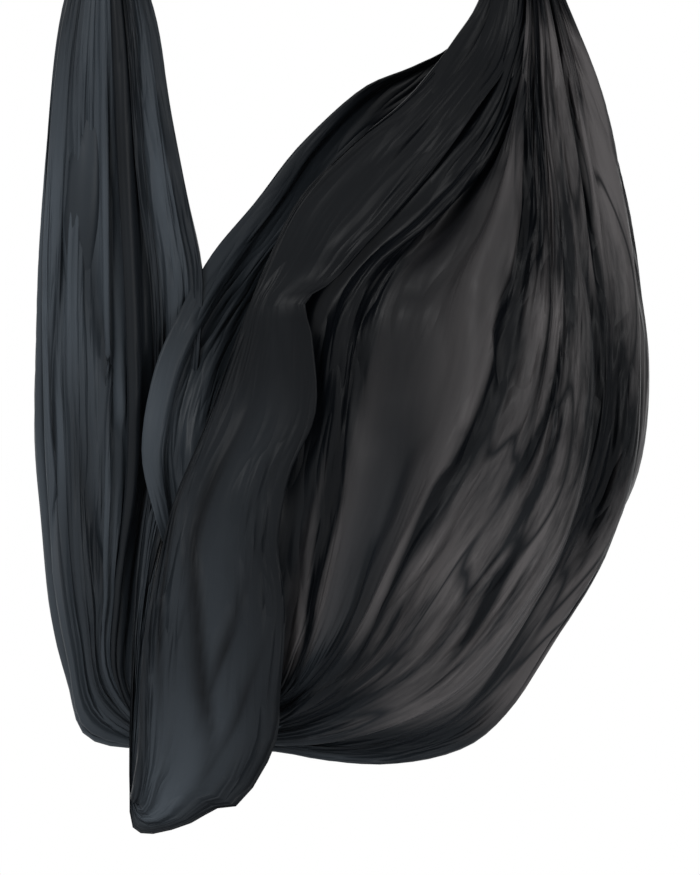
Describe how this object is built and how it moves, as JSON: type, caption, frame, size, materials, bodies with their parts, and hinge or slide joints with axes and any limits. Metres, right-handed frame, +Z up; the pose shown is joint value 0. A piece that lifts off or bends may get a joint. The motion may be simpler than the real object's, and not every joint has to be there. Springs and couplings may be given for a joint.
{
  "type": "aerial yoga hammock",
  "caption": "Black nylon aerial yoga hammock with a choker knot at each end, hung from ceiling plates by carabiners and webbing straps",
  "frame": {"origin": "On the ceiling, midway between the two plates' upper faces", "axes": "+Z up, X from the left plate to the right plate, -Y towards the front"},
  "size_m": [1.3317, 0.587, 2.8782],
  "materials": {
    "plate_steel": "zinc-plated steel plate, dull",
    "eye_steel": "zinc-plated round bar",
    "screw_zinc": "zinc-plated coach screws",
    "carabiner_steel": "satin plated steel bar",
    "gate_steel": "satin plated steel",
    "pin_steel": "plain steel pin",
    "spring_steel": "spring wire",
    "webbing": "black woven polyester webbing",
    "cloth_knot": "black nylon tricot, drawn tight",
    "cloth": "black nylon tricot with a satin sheen"
  },
  "bodies": {
    "root": {"left_ceiling_plate": "plate_steel", "left_eye": "eye_steel", "left_screw_1": "screw_zinc", "left_screw_2": "screw_zinc", "left_screw_3": "screw_zinc", "left_screw_4": "screw_zinc", "right_ceiling_plate": "plate_steel", "right_eye": "eye_steel", "right_screw_1": "screw_zinc", "right_screw_2": "screw_zinc", "right_screw_3": "screw_zinc", "right_screw_4": "screw_zinc"},
    "left_upper_carabiner": {"left_upper_body": "carabiner_steel", "left_upper_pin": "pin_steel"},
    "left_upper_gate": {"left_upper_gate": "gate_steel", "left_upper_gate_spring": "spring_steel"},
    "left_strap": {"left_strap": "webbing"},
    "left_lower_gate": {"left_lower_gate": "gate_steel", "left_lower_gate_spring": "spring_steel"},
    "right_upper_carabiner": {"right_upper_body": "carabiner_steel", "right_upper_pin": "pin_steel"},
    "right_upper_gate": {"right_upper_gate": "gate_steel", "right_upper_gate_spring": "spring_steel"},
    "right_strap": {"right_strap": "webbing"},
    "right_lower_gate": {"right_lower_gate": "gate_steel", "right_lower_gate_spring": "spring_steel"},
    "sling": {"sling_cloth": "cloth", "left_lower_body": "carabiner_steel", "left_lower_pin": "pin_steel", "left_knot": "cloth_knot", "right_lower_body": "carabiner_steel", "right_lower_pin": "pin_steel", "right_knot": "cloth_knot"}
  },
  "joints": [
    {"name": "fore_aft_swing", "type": "hinge", "parent": "root", "child": "left_upper_carabiner", "pos_m": [-0.455, 0, -0.045], "axis": [1, 0, 0], "range_deg": [-40, 40]},
    {"name": "right_fore_aft_swing", "type": "hinge", "parent": "root", "child": "right_upper_carabiner", "pos_m": [0.455, 0, -0.045], "axis": [1, 0, 0], "range_deg": [-40, 40]},
    {"name": "side_swing", "type": "hinge", "parent": "left_upper_carabiner", "child": "left_strap", "pos_m": [-0.455, 0, -0.1332], "axis": [0, 1, 0], "range_deg": [-25, 25]},
    {"name": "right_side_swing", "type": "hinge", "parent": "right_upper_carabiner", "child": "right_strap", "pos_m": [0.455, 0, -0.1332], "axis": [0, 1, 0], "range_deg": [-25, 25]},
    {"name": "sling_level", "type": "hinge", "parent": "left_strap", "child": "sling", "pos_m": [-0.455, 0, -0.6012], "axis": [0, 1, 0], "range_deg": [-25, 25]},
    {"name": "left_upper_gate_opening", "type": "hinge", "parent": "left_upper_carabiner", "child": "left_upper_gate", "pos_m": [-0.455, -0.0215, -0.1039], "axis": [-1, 0, 0], "range_deg": [0, 24]},
    {"name": "right_upper_gate_opening", "type": "hinge", "parent": "right_upper_carabiner", "child": "right_upper_gate", "pos_m": [0.455, -0.0215, -0.1039], "axis": [-1, 0, 0], "range_deg": [0, 24]},
    {"name": "left_lower_gate_opening", "type": "hinge", "parent": "sling", "child": "left_lower_gate", "pos_m": [-0.455, -0.0215, -0.6709], "axis": [-1, 0, 0], "range_deg": [0, 24]},
    {"name": "right_lower_gate_opening", "type": "hinge", "parent": "sling", "child": "right_lower_gate", "pos_m": [0.455, -0.0215, -0.6709], "axis": [-1, 0, 0], "range_deg": [0, 24]}
  ],
  "couplings": [
    {"joint": "right_fore_aft_swing", "follows": "fore_aft_swing", "ratio": 1},
    {"joint": "right_side_swing", "follows": "side_swing", "ratio": 1},
    {"joint": "sling_level", "follows": "side_swing", "ratio": -1}
  ]
}
